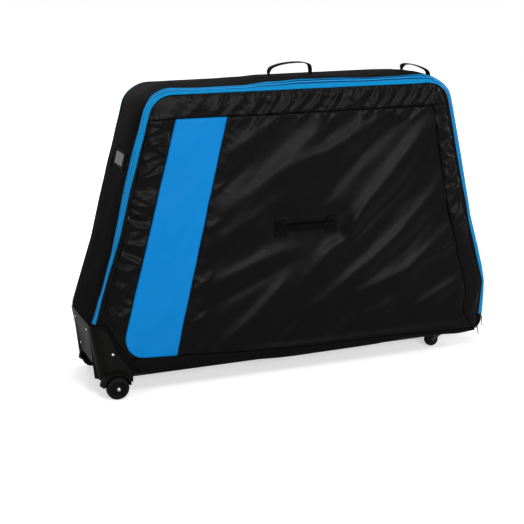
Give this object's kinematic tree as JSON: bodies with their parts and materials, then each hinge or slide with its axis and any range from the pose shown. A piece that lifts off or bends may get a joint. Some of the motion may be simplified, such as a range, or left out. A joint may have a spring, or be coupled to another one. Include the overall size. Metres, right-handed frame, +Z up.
{
  "type": "bike travel case",
  "caption": "Padded soft case for one bicycle: zipped fold-down front, corner wheels, swivel casters, webbing handles, inner rail with fork mount and frame cradle.",
  "frame": {"origin": "centre of the footprint, on the floor that the four wheels stand on", "axes": "+X along the case towards the casters, +Y from the zipped front to the back, +Z up"},
  "size_m": [1.2532, 0.3214, 0.8884],
  "materials": {
    "black_cloth": "matt coated polyester over foam",
    "panel_cloth": "glossy woven polyester",
    "blue_cloth": "woven polyester",
    "blue_tape": "ribbed zip tape",
    "black_webbing": "ribbed webbing",
    "foam_board": "lined foam",
    "mesh_pocket": "mesh lining",
    "housing_plastic": "fine grained moulding",
    "base_plastic": "moulded sheet",
    "tyre_rubber": "smooth polyurethane",
    "pad_rubber": "moulded rubber",
    "steel": "zinc plated",
    "aluminium": "anodised",
    "window_film": "clear film"
  },
  "bodies": {
    "case": {"base_tray": "base_plastic", "gusset_right": "black_cloth", "gusset_top": "black_cloth", "gusset_left": "black_cloth", "back_panel": "black_cloth", "back_binding": "blue_tape", "end_board_left": "base_plastic", "end_board_right": "base_plastic", "back_wheel_pocket": "mesh_pocket", "corner_patch": "black_cloth", "corner_binding": "black_cloth", "zip_tape_case": "blue_tape", "zip_coil_case": "blue_tape", "zip_end_strip": "black_webbing", "wheel_housing": "housing_plastic", "rear_axle_front": "steel", "rear_axle_back": "steel", "caster_plate_front": "steel", "caster_plate_back": "steel", "top_handle_base": "black_webbing", "corner_handle_base": "black_webbing", "address_frame": "black_webbing", "address_window": "window_film", "mount_rail": "aluminium"},
    "front_panel": {"panel_core": "foam_board", "panel_field": "panel_cloth", "panel_top_band": "panel_cloth", "panel_right_band": "panel_cloth", "panel_bottom_band": "black_cloth", "blue_strip": "blue_cloth", "zip_tape_panel": "blue_tape", "zip_coil_panel": "blue_tape", "panel_wheel_pocket": "mesh_pocket", "grip_patch_left": "black_webbing", "grip_patch_right": "black_webbing"},
    "grip": {"panel_grip": "black_webbing"},
    "rear_wheel_front": {"rear_tyre_front": "tyre_rubber", "rear_hub_front": "housing_plastic"},
    "rear_wheel_back": {"rear_tyre_back": "tyre_rubber", "rear_hub_back": "housing_plastic"},
    "swivel_front": {"caster_fork_front": "steel", "caster_axle_front": "steel"},
    "swivel_back": {"caster_fork_back": "steel", "caster_axle_back": "steel"},
    "roller_front": {"caster_wheel_front": "tyre_rubber"},
    "roller_back": {"caster_wheel_back": "tyre_rubber"},
    "carry_handle": {"top_handle": "black_webbing"},
    "tow_handle": {"corner_handle": "black_webbing"},
    "upper_slider": {"slider_upper": "steel"},
    "upper_puller": {"puller_upper": "steel"},
    "lower_slider": {"slider_lower": "steel"},
    "lower_puller": {"puller_lower": "black_webbing"},
    "fork_stand": {"fork_mount": "aluminium", "mount_skewer": "steel"},
    "quick_lever": {"skewer_lever": "steel"},
    "cradle": {"cradle_carriage": "aluminium", "cradle_pad": "pad_rubber", "cradle_strap": "black_webbing"}
  },
  "joints": [
    {"name": "front_panel_hinge", "type": "hinge", "parent": "case", "child": "front_panel", "pos_m": [0, -0.122, 0.0563], "axis": [1, 0, 0], "range_deg": [0, 93]},
    {"name": "grip_hinge", "type": "hinge", "parent": "front_panel", "child": "grip", "pos_m": [0.0085, -0.127, 0.434], "axis": [-1, 0, 0], "range_deg": [0, 90]},
    {"name": "rear_wheel_front_spin", "type": "hinge", "parent": "case", "child": "rear_wheel_front", "pos_m": [-0.5625, -0.1455, 0.032], "axis": [0, 1, 0], "continuous": true},
    {"name": "rear_wheel_back_spin", "type": "hinge", "parent": "case", "child": "rear_wheel_back", "pos_m": [-0.5625, 0.1455, 0.032], "axis": [0, 1, 0], "continuous": true},
    {"name": "caster_swivel_front", "type": "hinge", "parent": "case", "child": "swivel_front", "pos_m": [0.495, -0.069, 0.045], "axis": [0, 0, 1], "continuous": true},
    {"name": "caster_swivel_back", "type": "hinge", "parent": "case", "child": "swivel_back", "pos_m": [0.495, 0.069, 0.045], "axis": [0, 0, 1], "continuous": true},
    {"name": "caster_roll_front", "type": "hinge", "parent": "swivel_front", "child": "roller_front", "pos_m": [0.4645, -0.069, 0.0215], "axis": [0, 1, 0], "continuous": true},
    {"name": "caster_roll_back", "type": "hinge", "parent": "swivel_back", "child": "roller_back", "pos_m": [0.4645, 0.069, 0.0215], "axis": [0, 1, 0], "continuous": true},
    {"name": "carry_handle_fold", "type": "hinge", "parent": "case", "child": "carry_handle", "pos_m": [-0.057, 0, 0.854], "axis": [1, 0, 0], "range_deg": [-52, 52]},
    {"name": "tow_handle_fold", "type": "hinge", "parent": "case", "child": "tow_handle", "pos_m": [0.3707, 0, 0.85365], "axis": [0.9187, 0, -0.3949], "range_deg": [-36, 36]},
    {"name": "upper_slider_run", "type": "slide", "parent": "case", "child": "upper_slider", "axis": [0.08, 0, 0.9968], "range_m": [0, 0.085]},
    {"name": "upper_puller_swing", "type": "hinge", "parent": "upper_slider", "child": "upper_puller", "pos_m": [0.61327, -0.11893, 0.09175], "axis": [-0.7048, -0.7071, 0.0566], "range_deg": [0, 120]},
    {"name": "lower_slider_run", "type": "hinge", "parent": "case", "child": "lower_slider", "pos_m": [0.58531, 0, 0.08], "axis": [0, -1, 0], "range_deg": [0, 12]},
    {"name": "lower_puller_swing", "type": "hinge", "parent": "lower_slider", "child": "lower_puller", "pos_m": [0.5996, -0.11893, 0.05717], "axis": [-0.3752, -0.7071, 0.5994], "range_deg": [0, 80]},
    {"name": "fork_mount_slide", "type": "slide", "parent": "case", "child": "fork_stand", "axis": [1, 0, 0], "range_m": [-0.07, 0.04]},
    {"name": "skewer_lever_swing", "type": "hinge", "parent": "fork_stand", "child": "quick_lever", "pos_m": [0.355, -0.0571, 0.172], "axis": [0, 0, -1], "range_deg": [0, 180]},
    {"name": "cradle_slide", "type": "slide", "parent": "case", "child": "cradle", "axis": [1, 0, 0], "range_m": [-0.12, 0.15]}
  ]
}
